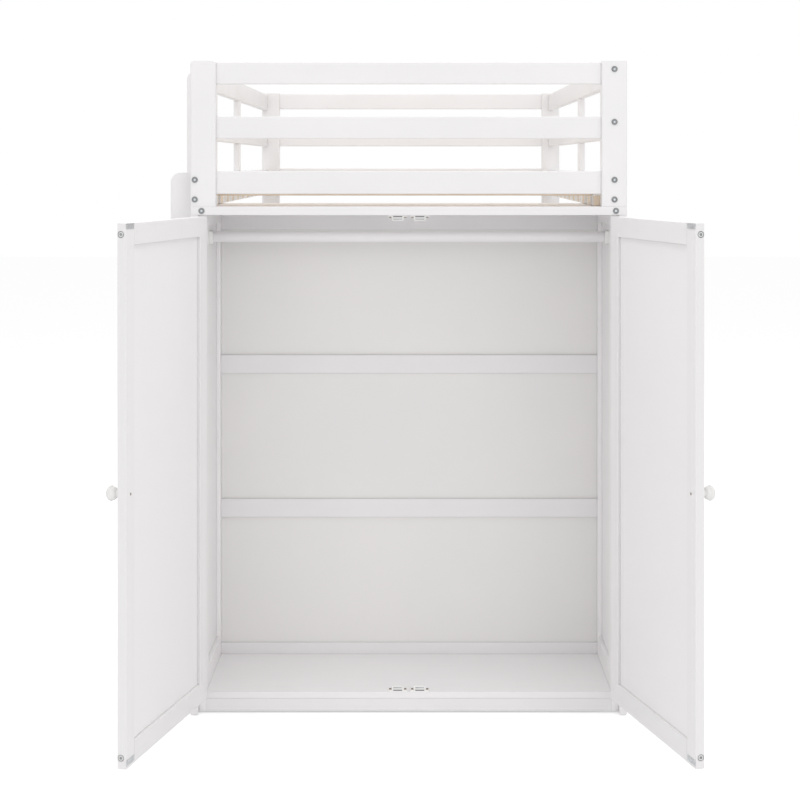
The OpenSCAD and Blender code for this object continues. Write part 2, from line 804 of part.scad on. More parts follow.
// Bolts through the posts, the strip and the ladder, and the barrel nuts in the side boards
module frame_bolts() color(zinc) place() {
    for (b = front_bolts) translate([b.x, 0, b.y]) rotate([-90, 0, 0]) bolt(bolt_l);
    for (b = rear_bolts) translate([b.x, bed_l, b.y]) rotate([90, 0, 0]) bolt(bolt_l);
    both_sides() translate([strip_bolt_x, 0, strip_bolt_z]) rotate([-90, 0, 0]) bolt(strip_bolt_l);
    for (b = ladder_bolts) translate([left_rail_in, b.x, b.y]) rotate([0, -90, 0]) bolt(ladder_bolt_l);
}

module barrel_nut(x, y, z) {
    inward = x > 0 ? -1 : 1;
    difference() {
        rod_x_dir(x + inward * board_t / 2, y, z, nut_r, -inward * nut_l);
        rod_y_dir(x, y - nut_r - eps, z, bolt_r + fit_gap, 2 * (nut_r + eps));
    }
}

module barrel_nuts() color(zinc) place() {
    for (b = front_bolts) barrel_nut(b.x, post_d + nut_inset, b.y);
    for (b = rear_bolts) barrel_nut(b.x, bed_l - post_d - nut_inset, b.y);
}

// Hinges: three knuckles on a pin, the middle one on the door's leaf
module at_hinges() {
    for (i = [0:hinge_n - 1]) translate([0, 0, door_z + hinge_inset + i * hinge_pitch]) children();
}

module knuckles(z0, z1, x) {
    difference() {
        union() {
            translate([0, 0, z0]) cylinder(r = knuckle_r, h = z1 - z0);
            block([x, 0, z0], [x + leaf_t, leaf_y0 + eps, z1]);
        }
        translate([0, 0, z0 - eps]) cylinder(r = pin_r + pin_gap, h = z1 - z0 + 2 * eps);
    }
}

module door_leaf() {
    z = knuckle_l / 2 - knuckle_gap / 2;
    block([leaf_gap, leaf_y0, -hinge_h / 2], [leaf_gap + leaf_t, hinge_y + leaf_w, hinge_h / 2]);
    knuckles(-z, z, leaf_gap);
}

module frame_leaf() {
    z = knuckle_l / 2 + knuckle_gap / 2;
    block([-leaf_gap - leaf_t, leaf_y0, -hinge_h / 2], [-leaf_gap, hinge_y + leaf_w, hinge_h / 2]);
    knuckles(z, hinge_h / 2, -leaf_gap - leaf_t);
    knuckles(-hinge_h / 2, -z, -leaf_gap - leaf_t);
}

module at_left_hinge(a) {
    place() translate([-hinge_x, -hinge_y, 0]) rotate([0, 0, -a]) children();
}

module at_right_hinge(a) {
    place() translate([hinge_x, -hinge_y, 0]) rotate([0, 0, a]) mirror([1, 0, 0]) children();
}

module frame_hinge_leaves() color(zinc) {
    at_left_hinge(0) at_hinges() frame_leaf();
    at_right_hinge(0) at_hinges() frame_leaf();
}

module hinge_pins() color(zinc) {
    at_left_hinge(0) at_hinges() translate([0, 0, -hinge_h / 2]) cylinder(r = pin_r, h = hinge_h);
    at_right_hinge(0) at_hinges() translate([0, 0, -hinge_h / 2]) cylinder(r = pin_r, h = hinge_h);
}

// Door pieces, in the door's own frame
door_bolt_z = [door_z + door_rail_h / 2, door_top - door_rail_h / 2];
knob_x = door_x1 - knob_inset;
strike_z = [max(door_z, floor_z - strike_inset), door_top - strike_inset - strike_h];
strike_x = door_x1 - strike_l / 2;
strike_screw_r = 0.7 * screw_head_r;

module door_groove() {
    z0 = door_z + door_rail_h - groove_depth;
    z1 = door_top - door_rail_h + groove_depth;
    block([door_rail_x0 - groove_depth, door_panel_y - fit_gap, z0],
        [door_rail_x1 + groove_depth, door_panel_y + door_panel_t + fit_gap, z1]);
}

module door_bolt_bores() {
    y = hinge_y + door_bolt_y;
    for (z = door_bolt_z) {
        rod_x_dir(door_x1 + eps, y, z, bolt_r + fit_gap, -(door_bolt_l + head_t + 2 * eps));
        rod_x_dir(door_x1 + eps, y, z, head_r + fit_gap, -(head_t + eps));
        rod_x_dir(door_x0 - eps, y, z, bolt_r + fit_gap, door_bolt_l + head_t + 2 * eps);
        rod_x_dir(door_x0 - eps, y, z, head_r + fit_gap, head_t + eps);
    }
}

module door_screw_bores() {
    rod_y_dir(knob_x, door_y1 + eps, knob_z, screw_r + fit_gap, -(door_t + 2 * eps));
    for (z = strike_z)
        rod_y_dir(strike_x, door_y1 + eps, z + strike_h / 2, screw_r + fit_gap, -(screw_in + fit_gap + eps));
}

module door_stiles() difference() {
    union() {
        board([door_x0, hinge_y, door_z], [door_rail_x0, door_y1, door_top], "z", door_edge_r);
        board([door_rail_x1, hinge_y, door_z], [door_x1, door_y1, door_top], "z", door_edge_r);
    }
    door_groove();
    door_bolt_bores();
    door_screw_bores();
}

module door_rails() difference() {
    for (z = [door_z, door_top - door_rail_h])
        board([door_rail_x0, hinge_y, z], [door_rail_x1, door_y1, z + door_rail_h], "x", door_edge_r);
    door_groove();
    door_bolt_bores();
}

module door_panel() {
    in = groove_depth - fit_gap;
    block([door_rail_x0 - in, door_panel_y, door_z + door_rail_h - in],
        [door_rail_x1 + in, door_panel_y + door_panel_t, door_top - door_rail_h + in]);
}

// Mushroom knob, turned round Z: a foot, a waisted neck and a domed head
knob_rim = 3;
knob_edge = 1.5;
neck_r = knob_neck_d / 2;
neck_z = (knob_l - knob_dome - knob_rim) / 2;
neck_sweep = 350;

function arc(cx, cy, rx, ry, a0, a1, n) =
    [for (i = [0:n]) let (a = a0 + (a1 - a0) * i / n) [cx + rx * cos(a), cy + ry * sin(a)]];

module door_knob() {
    under = knob_l - knob_dome - knob_rim;
    top = knob_l - knob_dome;
    r = knob_d / 2;
    translate([knob_x, hinge_y, knob_z]) rotate([90, 0, 0]) difference() {
        rotate_extrude($fn = 48) polygon(concat(
            [[0, 0]],
            arc(knob_foot_d / 2, neck_z, knob_foot_d / 2 - neck_r, neck_z, 270, 180, 6),
            arc(neck_r, top, r - neck_r - knob_edge, top - neck_z - knob_edge, 270, neck_sweep, 6),
            arc(0, top, r, knob_dome, 0, 90, 8)));
        translate([0, 0, -eps]) cylinder(r = screw_r + fit_gap, h = screw_in + fit_gap + eps);
    }
}

module strike_plates() difference() {
    for (z = strike_z) block([door_x1 - strike_l, door_y1, z], [door_x1, door_y1 + strike_t, z + strike_h]);
    for (z = strike_z)
        rod_y_dir(strike_x, door_y1 - eps, z + strike_h / 2, strike_screw_r + fit_gap, strike_t + 2 * eps);
}

module door_screws() {
    rod_y_dir(knob_x, door_y1 + screw_head_t, knob_z, screw_head_r, -screw_head_t);
    rod_y_dir(knob_x, door_y1 + screw_head_t, knob_z, screw_r, -(screw_head_t + door_t + screw_in));
    for (z = strike_z) {
        rod_y_dir(strike_x, door_y1 + strike_t, z + strike_h / 2, strike_screw_r, -strike_t);
        rod_y_dir(strike_x, door_y1 + strike_t, z + strike_h / 2, screw_r, -(strike_t + screw_in));
    }
}

module door_bolts() {
    y = hinge_y + door_bolt_y;
    for (z = door_bolt_z) {
        translate([door_x1 - head_t, y, z]) rotate([0, -90, 0]) bolt(door_bolt_l);
        translate([door_x0 + head_t, y, z]) rotate([0, 90, 0]) bolt(door_bolt_l);
    }
}

module left_door_stiles() color(white) at_left_hinge(left_angle) door_stiles();
module left_door_rails() color(white) at_left_hinge(left_angle) door_rails();
module left_door_panel() color(pale) at_left_hinge(left_angle) door_panel();
module left_knob() color(white) at_left_hinge(left_angle) door_knob();
module left_strike_plates() color(zinc) at_left_hinge(left_angle) strike_plates();
module left_door_screws() color(zinc) at_left_hinge(left_angle) door_screws();
module left_door_bolts() color(zinc) at_left_hinge(left_angle) door_bolts();
module left_door_hinge_leaves() color(zinc) at_left_hinge(left_angle) at_hinges() door_leaf();

module right_door_stiles() color(white) at_right_hinge(right_angle) door_stiles();
module right_door_rails() color(white) at_right_hinge(right_angle) door_rails();
module right_door_panel() color(pale) at_right_hinge(right_angle) door_panel();
module right_knob() color(white) at_right_hinge(right_angle) door_knob();
module right_strike_plates() color(zinc) at_right_hinge(right_angle) strike_plates();
module right_door_screws() color(zinc) at_right_hinge(right_angle) door_screws();
module right_door_bolts() color(zinc) at_right_hinge(right_angle) door_bolts();
module right_door_hinge_leaves() color(zinc) at_right_hinge(right_angle) at_hinges() door_leaf();

front_left_post();
front_right_post();
rear_left_post();
rear_right_post();
front_top_rail();
front_middle_rail();
front_low_rail();
rear_top_rail();
rear_middle_rail();
rear_low_rail();
left_bed_rail();
right_bed_rail();
slats();
slat_bearers();
slat_holders();
left_top_guard();
left_middle_guard();
right_top_guard();
right_middle_guard();
guard_balusters();
ladder_near_stringer();
ladder_far_stringer();
ladder_steps();
lower_stretchers();
left_side_stiles();
left_side_rails();
left_side_panel();
right_side_stiles();
right_side_rails();
right_side_panel();
back_rails();
back_panels();
front_strip();
wardrobe_top();
wardrobe_floor();
plinth();
hanging_rod();
rod_sockets();
magnet_catches();
catch_screws();
frame_bolts();
barrel_nuts();
frame_hinge_leaves();
hinge_pins();
left_door_stiles();
left_door_rails();
left_door_panel();
left_knob();
left_strike_plates();
left_door_screws();
left_door_bolts();
left_door_hinge_leaves();
right_door_stiles();
right_door_rails();
right_door_panel();
right_knob();
right_strike_plates();
right_door_screws();
right_door_bolts();
right_door_hinge_leaves();
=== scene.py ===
import math

import bmesh
import bpy
import numpy as np
from mathutils import Matrix, Vector


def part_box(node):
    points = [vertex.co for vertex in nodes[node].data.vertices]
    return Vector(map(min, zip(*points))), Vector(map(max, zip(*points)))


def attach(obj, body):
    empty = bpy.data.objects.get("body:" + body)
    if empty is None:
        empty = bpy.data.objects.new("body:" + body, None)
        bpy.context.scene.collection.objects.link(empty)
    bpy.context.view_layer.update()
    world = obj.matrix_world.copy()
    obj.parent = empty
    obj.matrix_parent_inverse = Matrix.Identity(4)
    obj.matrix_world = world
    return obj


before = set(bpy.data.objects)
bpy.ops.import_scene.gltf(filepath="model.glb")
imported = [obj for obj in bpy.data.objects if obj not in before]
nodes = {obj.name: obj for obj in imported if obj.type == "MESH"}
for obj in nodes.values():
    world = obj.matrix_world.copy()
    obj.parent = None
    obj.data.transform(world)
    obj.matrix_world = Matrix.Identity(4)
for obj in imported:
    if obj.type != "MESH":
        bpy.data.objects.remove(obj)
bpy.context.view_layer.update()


# Wardrobe side frames: pine stiles and rails, sprayed with two coats of white lacquer and rubbed down.
# The lacquer fills most of the grain, which shows as faint lines under a soft orange peel, and the spray gun
# leaves slow changes of tone and gloss along each board.
# The first tones are a lighter copy of the bed's lacquer for the boards inside the wardrobe: painted light
# that lifts the shade in there.
INNER_LACQUER_LIT = ((0.938, 0.921, 0.925), (0.926, 0.912, 0.916))
OUTER_LACQUER = ((0.846, 0.830, 0.837), (0.828, 0.816, 0.822))
LACQUER_IN_GRAIN = (0.815, 0.800, 0.794)
# The next four settings paint shade into inner corners and open joints: painted shade.
JOINT_REACH = 0.004
JOINT_SHADE = 0.79
JOINT_OPEN = (0.3, 0.9)
JOINT_SAMPLES = 4
GRAIN_STRETCH = 28
GRAIN_SCALE = 130
GRAIN_SHOWS = (0.3, 0.42)
GRAIN_STRENGTH = 0.22
EDGE_SHADE_TURN = (0.5, 0.9)
GRAIN_RELIEF = 0.00010
PEEL_SCALE = 420
PEEL_RELIEF = 0.00003
TONE_SCALE = 5
LACQUER_GLOSS = (0.29, 0.38)
BOARD_AXES = {"x": (0, 0, 0), "y": (0, 0, -math.pi / 2), "z": (0, math.pi / 2, 0)}


def start_material(name):
    material = bpy.data.materials.new(name)
    material.use_nodes = True
    tree = material.node_tree
    shader = tree.nodes["Principled BSDF"]
    place = tree.nodes.new("ShaderNodeTexCoord")
    return material, tree, shader, place.outputs["Object"]


def along_board(tree, place, turn, stretch):
    """Coordinates whose X runs along the board, squeezed by stretch so that a noise draws out into grain."""
    turned = tree.nodes.new("ShaderNodeMapping")
    turned.vector_type = "TEXTURE"
    turned.inputs["Rotation"].default_value = turn
    tree.links.new(place, turned.inputs["Vector"])
    squeezed = tree.nodes.new("ShaderNodeMapping")
    squeezed.inputs["Scale"].default_value = (1 / stretch, 1, 1)
    tree.links.new(turned.outputs["Vector"], squeezed.inputs["Vector"])
    return squeezed.outputs["Vector"]


NOISE_SPAN = (0.3, 0.7)
NOISE_CORE = (0.35, 0.65)


def noise(tree, vector, scale, detail=3.0, rough=0.5, bend=0.0):
    node = tree.nodes.new("ShaderNodeTexNoise")
    node.inputs["Scale"].default_value = scale
    node.inputs["Detail"].default_value = detail
    node.inputs["Roughness"].default_value = rough
    node.inputs["Distortion"].default_value = bend
    tree.links.new(vector, node.inputs["Vector"])
    return node.outputs["Fac"]


def spread(tree, value, low, high, to_low, to_high):
    node = tree.nodes.new("ShaderNodeMapRange")
    node.inputs["From Min"].default_value = low
    node.inputs["From Max"].default_value = high
    node.inputs["To Min"].default_value = to_low
    node.inputs["To Max"].default_value = to_high
    tree.links.new(value, node.inputs["Value"])
    return node.outputs["Result"]


def blend_colours(tree, share, first, second):
    node = tree.nodes.new("ShaderNodeMix")
    node.data_type = "RGBA"
    tree.links.new(share, node.inputs["Factor"])
    for socket, colour in ((node.inputs["A"], first), (node.inputs["B"], second)):
        if isinstance(colour, tuple):
            socket.default_value = (*colour, 1)
        else:
            tree.links.new(colour, socket)
    return node.outputs["Result"]


def relief(tree, height, depth, below=None):
    node = tree.nodes.new("ShaderNodeBump")
    node.inputs["Strength"].default_value = 1.0
    node.inputs["Distance"].default_value = depth
    tree.links.new(height, node.inputs["Height"])
    if below:
        tree.links.new(below, node.inputs["Normal"])
    return node.outputs["Normal"]


def painted_joint_shade(tree, colour):
    """Paints shade into a colour in the last millimetres before an inner corner or an open joint, where an
    occlusion test finds it: painted shade.
    """
    crevice = tree.nodes.new("ShaderNodeAmbientOcclusion")
    crevice.samples = JOINT_SAMPLES
    crevice.inputs["Distance"].default_value = JOINT_REACH
    shade = tree.nodes.new("ShaderNodeVectorMath")
    shade.operation = "SCALE"
    tree.links.new(colour, shade.inputs[0])
    darkness = spread(tree, crevice.outputs["AO"], *JOINT_OPEN, JOINT_SHADE, 1)
    tree.links.new(darkness, shade.inputs["Scale"])
    return shade.outputs["Vector"]


def lacquered_board(name, turn, tones, edge=None):
    """edge gives an outward direction and a darker tone that is painted on the faces turned that way:
    painted shade.
    """
    material, tree, shader, place = start_material(name)
    along = along_board(tree, place, turn, GRAIN_STRETCH)
    grain = noise(tree, along, GRAIN_SCALE, 4, 0.6, 0.6)
    peel = noise(tree, place, PEEL_SCALE, 2, 0.5)
    clouds = noise(tree, place, TONE_SCALE, 2)
    tint = blend_colours(tree, spread(tree, clouds, *NOISE_CORE, 0, 1), *tones)
    # Faces turned along the outward direction are painted darker: painted shade.
    if edge:
        outward, edge_shade_tone = edge
        facing = tree.nodes.new("ShaderNodeVectorMath")
        facing.operation = "DOT_PRODUCT"
        tree.links.new(place.node.outputs["Normal"], facing.inputs[0])
        facing.inputs[1].default_value = outward
        edge_shade_share = spread(tree, facing.outputs["Value"], *EDGE_SHADE_TURN, 0, 1)
        tint = blend_colours(tree, edge_shade_share, tint, edge_shade_tone)
    lines = spread(tree, grain, *GRAIN_SHOWS, GRAIN_STRENGTH, 0)
    colour = blend_colours(tree, lines, tint, LACQUER_IN_GRAIN)
    # Painted shade in the corners and joints.
    tree.links.new(painted_joint_shade(tree, colour), shader.inputs["Base Color"])
    tree.links.new(spread(tree, clouds, *NOISE_SPAN, *LACQUER_GLOSS), shader.inputs["Roughness"])
    fine = relief(tree, peel, PEEL_RELIEF)
    tree.links.new(relief(tree, grain, GRAIN_RELIEF, fine), shader.inputs["Normal"])
    return material


INNER_LIT, OUTER = {}, {}
# The wardrobe materials take the lighter copy, painted light; the bed materials take the plain lacquer.
for axis, turn in BOARD_AXES.items():
    INNER_LIT[axis] = lacquered_board("wardrobe_lacquer_lit_" + axis, turn, INNER_LACQUER_LIT)
for axis, turn in BOARD_AXES.items():
    OUTER[axis] = lacquered_board("bed_lacquer_" + axis, turn, OUTER_LACQUER)


def dress(names, material):
    for name in names:
        mesh = nodes[name].data
        mesh.materials.clear()
        mesh.materials.append(material)


# The side frames take the lighter wardrobe copy of the lacquer, painted light.
dress(["left_side_stiles", "right_side_stiles"], INNER_LIT["z"])
dress(["left_side_rails", "right_side_rails"], INNER_LIT["y"])


# Side and back panels.
# Thin boards of white-faced fibreboard that slide in grooves in the frames; a roller leaves a fine stipple.
PANEL_TONES = ((0.925, 0.909, 0.914), (0.911, 0.899, 0.905))
# The back panels take a darker, warmer copy of the panel tones: painted shade at the back of the wardrobe.
BACK_TONES_SHADED = ((0.842, 0.828, 0.818), (0.824, 0.813, 0.805))
STIPPLE_SCALE = 900
STIPPLE_RELIEF = 0.00003
PANEL_TONE_SCALE = 3
PANEL_GLOSS = (0.32, 0.42)


def rolled_panel(name, tones):
    material, tree, shader, place = start_material(name)
    stipple = noise(tree, place, STIPPLE_SCALE, 2, 0.6)
    clouds = noise(tree, place, PANEL_TONE_SCALE, 2)
    share = spread(tree, clouds, *NOISE_SPAN, 0, 1)
    colour = blend_colours(tree, share, *tones)
    # Painted shade in the corners and joints.
    tree.links.new(painted_joint_shade(tree, colour), shader.inputs["Base Color"])
    tree.links.new(spread(tree, stipple, *NOISE_SPAN, *PANEL_GLOSS), shader.inputs["Roughness"])
    tree.links.new(relief(tree, stipple, STIPPLE_RELIEF), shader.inputs["Normal"])
    return material


PANEL = rolled_panel("rolled_panel", PANEL_TONES)
dress(["left_side_panel", "right_side_panel"], PANEL)
# The back panels take the darker copy, painted shade.
dress(["back_panels"], rolled_panel("rolled_back_panel_shaded", BACK_TONES_SHADED))


# Wardrobe back rails, front strip, top, floor and plinth.
# Solid boards across the wardrobe between its side frames, lacquered like them.
# The floor board's front edge is painted darker than its top: painted shade on the face that looks forward
# over the plinth.
FLOOR_EDGE_SHADE = (0.872, 0.856, 0.862)

floor_edge_shade = ((0, -1, 0), FLOOR_EDGE_SHADE)
# Top and floor take the lighter wardrobe copy of the lacquer, painted light.
dress(["wardrobe_top"], INNER_LIT["x"])
dress(["wardrobe_floor"], lacquered_board("floor_board_lacquer", BOARD_AXES["x"], INNER_LACQUER_LIT, floor_edge_shade))
dress(["back_rails", "front_strip", "plinth"], OUTER["x"])


# Hanging rod and its sockets.
# A turned beech rod, lacquered white, that lies in two open plastic sockets on the side panels.
PLASTIC_WHITE = (0.93, 0.925, 0.91)
PLASTIC_ROUGH = 0.42
GRIT_SCALE = 1400
GRIT_RELIEF = 0.00002
GRIT_SHADE = 0.96
GLOSS_SPREAD = 0.05


def moulded_plastic(name, colour, rough):
    material, tree, shader, place = start_material(name)
    grit = noise(tree, place, GRIT_SCALE, 2)
    tint = tuple(GRIT_SHADE * c for c in colour)
    share = spread(tree, grit, *NOISE_SPAN, 0, 1)
    gloss = spread(tree, grit, *NOISE_SPAN, rough - GLOSS_SPREAD, rough + GLOSS_SPREAD)
    tree.links.new(blend_colours(tree, share, colour, tint), shader.inputs["Base Color"])
    tree.links.new(gloss, shader.inputs["Roughness"])
    tree.links.new(relief(tree, grit, GRIT_RELIEF), shader.inputs["Normal"])
    return material


PLASTIC = moulded_plastic("moulded_plastic", PLASTIC_WHITE, PLASTIC_ROUGH)
dress(["hanging_rod"], OUTER["x"])
dress(["rod_sockets"], PLASTIC)


# Magnetic catches.
# White mouldings, each with a pale magnet between two steel pole plates in the recess of its face.
# Two catches hang under the top board and two stand on the floor board, screwed down through their ears.
PLATE_WIDTH = 0.0220
PLATE_FACE = 0.0002
PLATE_BACK = 0.0015
MAGNET_FACE = 0.0006
BOARD_PLATE_ROW = (0.0026, 0.0052)
DOOR_PLATE_ROW = (0.0090, 0.0124)
MAGNET_ROW = (0.0052, 0.0090)
PLATE_EDGE = 0.0003
STEEL = (0.46, 0.475, 0.485)
YELLOW_STEEL = (0.36, 0.29, 0.22)
# The two pole plates are one steel in two tones: the one by the board darker, painted shade under the board
# and strip, the one by the door lighter, painted light.
BOARD_PLATE_SHADED_STEEL = (0.31, 0.305, 0.305)
DOOR_PLATE_LIT_STEEL = (0.66, 0.665, 0.67)
MAGNET_TONE = (0.82, 0.82, 0.81)
PLATED_ROUGH = 0.36
DULL_ROUGH = 0.4
MAGNET_ROUGH = 0.6
MOTTLE_SCALE = 260
MOTTLE_SHADE = 0.8
MOTTLE_POLISH = 0.08
MOTTLE_DULL = 0.1
MOTTLE_RELIEF = 0.00003
SAME_POINT = 1e-6


def solids(name):
    """The corners of each separate solid of a CAD node, one array per solid."""
    built = bmesh.new()
    built.from_mesh(nodes[name].data)
    bmesh.ops.remove_doubles(built, verts=built.verts, dist=SAME_POINT)
    groups, seen = [], set()
    for start in built.verts:
        if start in seen:
            continue
        seen.add(start)
        group, waiting = [], [start]
        while waiting:
            corner = waiting.pop()
            group.append(corner.co[:])
            for edge in corner.link_edges:
                other = edge.other_vert(corner)
                if other not in seen:
                    seen.add(other)
                    waiting.append(other)
        groups.append(np.array(group))
    built.free()
    return groups


def add_box(built, low, high, edge=0.0):
    """A block between two corners with all its edges eased."""
    made = bmesh.ops.create_cube(built, size=1.0)["verts"]
    middle = (Vector(low) + Vector(high)) / 2
    size = Vector(high) - Vector(low)
    for corner in made:
        corner.co = middle + Vector(corner.co[i] * size[i] for i in range(3))
    if edge:
        edges = list({e for corner in made for e in corner.link_edges})
        bmesh.ops.bevel(built, geom=edges, offset=edge, segments=2, affect="EDGES", profile=0.5)


def finish_piece(name, built, material, body):
    mesh = bpy.data.meshes.new(name)
    bmesh.ops.recalc_face_normals(built, faces=built.faces)
    built.to_mesh(mesh)
    built.free()
    mesh.materials.append(material)
    piece = bpy.data.objects.new(name, mesh)
    bpy.context.scene.collection.objects.link(piece)
    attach(piece, body)


def zinc_steel(name, colour, rough):
    """Steel turned or pressed to shape and plated with zinc, which leaves it slightly mottled."""
    material, tree, shader, place = start_material(name)
    mottle = noise(tree, place, MOTTLE_SCALE, 3)
    tint = tuple(MOTTLE_SHADE * c for c in colour)
    share = spread(tree, mottle, *NOISE_CORE, 0, 1)
    tree.links.new(blend_colours(tree, share, colour, tint), shader.inputs["Base Color"])
    gloss = spread(tree, mottle, *NOISE_SPAN, rough - MOTTLE_POLISH, rough + MOTTLE_DULL)
    tree.links.new(gloss, shader.inputs["Roughness"])
    shader.inputs["Metallic"].default_value = 1.0
    tree.links.new(relief(tree, mottle, MOTTLE_RELIEF), shader.inputs["Normal"])
    return material


def catch_fillings(row, face, edge):
    """One block per catch, let into its recess; row is its heights from the board behind the catch."""
    built = bmesh.new()
    for corners in solids("magnet_catches"):
        low, high = corners.min(0), corners.max(0)
        middle = (low[0] + high[0]) / 2
        hangs = low[2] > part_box("hanging_rod")[1].z
        near, far = row
        bottom = high[2] - far if hangs else low[2] + near
        top = high[2] - near if hangs else low[2] + far
        add_box(built, (middle - PLATE_WIDTH / 2, low[1] + face, bottom),
                (middle + PLATE_WIDTH / 2, low[1] + PLATE_BACK, top), edge)
    return built


PLATED = zinc_steel("zinc_plated_steel", STEEL, PLATED_ROUGH)
dress(["magnet_catches"], PLASTIC)
dress(["catch_screws"], zinc_steel("yellow_zinc_steel", YELLOW_STEEL, DULL_ROUGH))
# Board-side plates take the darker steel, painted shade; door-side plates the lighter steel, painted light.
plates = catch_fillings(BOARD_PLATE_ROW, PLATE_FACE, PLATE_EDGE)
plate_steel = zinc_steel("shaded_pole_steel", BOARD_PLATE_SHADED_STEEL, DULL_ROUGH)
finish_piece("catch_board_side_plates", plates, plate_steel, "bed")
plates = catch_fillings(DOOR_PLATE_ROW, PLATE_FACE, PLATE_EDGE)
plate_steel = zinc_steel("lit_pole_steel", DOOR_PLATE_LIT_STEEL, PLATED_ROUGH)
finish_piece("catch_door_side_plates", plates, plate_steel, "bed")
magnets = catch_fillings(MAGNET_ROW, MAGNET_FACE, 0)
magnet_stuff = moulded_plastic("sintered_magnet", MAGNET_TONE, MAGNET_ROUGH)
finish_piece("catch_magnets", magnets, magnet_stuff, "bed")


# Posts, balusters and ladder stringers.
# Upright pine members; the front posts are blocks over the wardrobe with a thin leg beside it.
dress(["front_left_post", "front_right_post", "rear_left_post", "rear_right_post"], OUTER["z"])
dress(["ladder_near_stringer", "ladder_far_stringer", "guard_balusters"], OUTER["z"])


# End rails, bed rails, guards, ladder steps and lower stretchers.
# Planed boards with eased edges, lacquered all round before the bed is bolted together.
dress(["front_top_rail", "front_middle_rail", "front_low_rail"], OUTER["x"])
dress(["rear_top_rail", "rear_middle_rail", "rear_low_rail", "lower_stretchers"], OUTER["x"])
dress(["left_bed_rail", "right_bed_rail", "left_top_guard", "left_middle_guard"], OUTER["y"])
dress(["right_top_guard", "right_middle_guard", "ladder_steps"], OUTER["y"])


# Slats, the ledges that carry them and the holders between.
# Planed pine left bare, each from another plank, so that tone and figure differ from slat to slat.
# A white moulded holder clips over the ledge at both ends of every slat.
PINE_EARLY = (0.775, 0.640, 0.495)
PINE_EARLY_DEEP = (0.725, 0.580, 0.435)
PINE_LATE = (0.60, 0.430, 0.290)
PINE_PALE = (0.84, 0.730, 0.600)
# The paler pine below is laid on faces that look up: painted light from above.
PINE_TOP_LIT = (0.87, 0.82, 0.755)
FIGURE_STRETCH = 14
FIGURE_SCALE = 26
RING_COUNT = 9
FIBRE_SCALE = 420
FIBRE_RELIEF = 0.0002
PLANK_STEP = (3.7, 5.1, 2.3)
PALE_SHARE = (0.12, 0.55)
RING_EDGE = (0.3, 0.5)
RING_DARK = 0.6
TOP_LIT_TURN = (0.5, 0.9)
TOP_LIT_SHARE = 0.7
PINE_GLOSS = (0.55, 0.70)


def bare_pine(name, turn):
    material, tree, shader, place = start_material(name)
    plank = tree.nodes.new("ShaderNodeNewGeometry")
    shifted = tree.nodes.new("ShaderNodeVectorMath")
    shifted.operation = "MULTIPLY_ADD"
    tree.links.new(plank.outputs["Random Per Island"], shifted.inputs[0])
    shifted.inputs[1].default_value = PLANK_STEP
    tree.links.new(place, shifted.inputs[2])
    along = along_board(tree, shifted.outputs["Vector"], turn, FIGURE_STRETCH)
    figure = noise(tree, along, FIGURE_SCALE, 3, 0.5, 1.4)
    rings = tree.nodes.new("ShaderNodeMath")
    rings.operation = "PINGPONG"
    tree.links.new(spread(tree, figure, 0, 1, 0, RING_COUNT), rings.inputs[0])
    rings.inputs[1].default_value = 0.5
    fibre = noise(tree, along, FIBRE_SCALE, 4, 0.65)
    deep = spread(tree, fibre, *NOISE_CORE, 0, 1)
    early = blend_colours(tree, deep, PINE_EARLY, PINE_EARLY_DEEP)
    ring_edge = spread(tree, rings.outputs[0], *RING_EDGE, 0, RING_DARK)
    late = blend_colours(tree, ring_edge, early, PINE_LATE)
    tone = spread(tree, plank.outputs["Random Per Island"], 0, 1, *PALE_SHARE)
    planed = blend_colours(tree, tone, late, PINE_PALE)
    # Faces that look up are painted paler: painted light from above.
    facing = tree.nodes.new("ShaderNodeSeparateXYZ")
    tree.links.new(plank.outputs["True Normal"], facing.inputs["Vector"])
    top_lit = spread(tree, facing.outputs["Z"], *TOP_LIT_TURN, 0, TOP_LIT_SHARE)
    tree.links.new(blend_colours(tree, top_lit, planed, PINE_TOP_LIT), shader.inputs["Base Color"])
    tree.links.new(spread(tree, fibre, *NOISE_SPAN, *PINE_GLOSS), shader.inputs["Roughness"])
    tree.links.new(relief(tree, fibre, FIBRE_RELIEF), shader.inputs["Normal"])
    return material


dress(["slats"], bare_pine("bare_pine_slats", BOARD_AXES["x"]))
dress(["slat_bearers"], bare_pine("bare_pine_ledges", BOARD_AXES["y"]))
dress(["slat_holders"], PLASTIC)


# Bolts and barrel nuts of the frame.
# Flat-headed furniture bolts with a hexagon socket; the socket is painted bright, a painted reflection of
# the light that falls into it, and the head is a darker copy of the steel, painted shade.
BOLT_RING_SHADED = (0.335, 0.345, 0.35)
SOCKET_PAINTED_LIGHT = (0.78, 0.83, 0.87)
SOCKET_DEPTH = 0.00150
SOCKET_RIM = 0.00010
SOCKET_GAP = 0.00004
SOCKET_LOOPS = (
    (SOCKET_RIM, 1.0),
    (SOCKET_DEPTH - 0.0003, 1.0),
    (SOCKET_DEPTH - 0.0001, 0.86),
    (SOCKET_DEPTH, 0.45),
)
RING_ROUGH = 0.34
SOCKET_ROUGH = 0.3
HEAD_SHARE = 0.55
FLAT = 1e-5


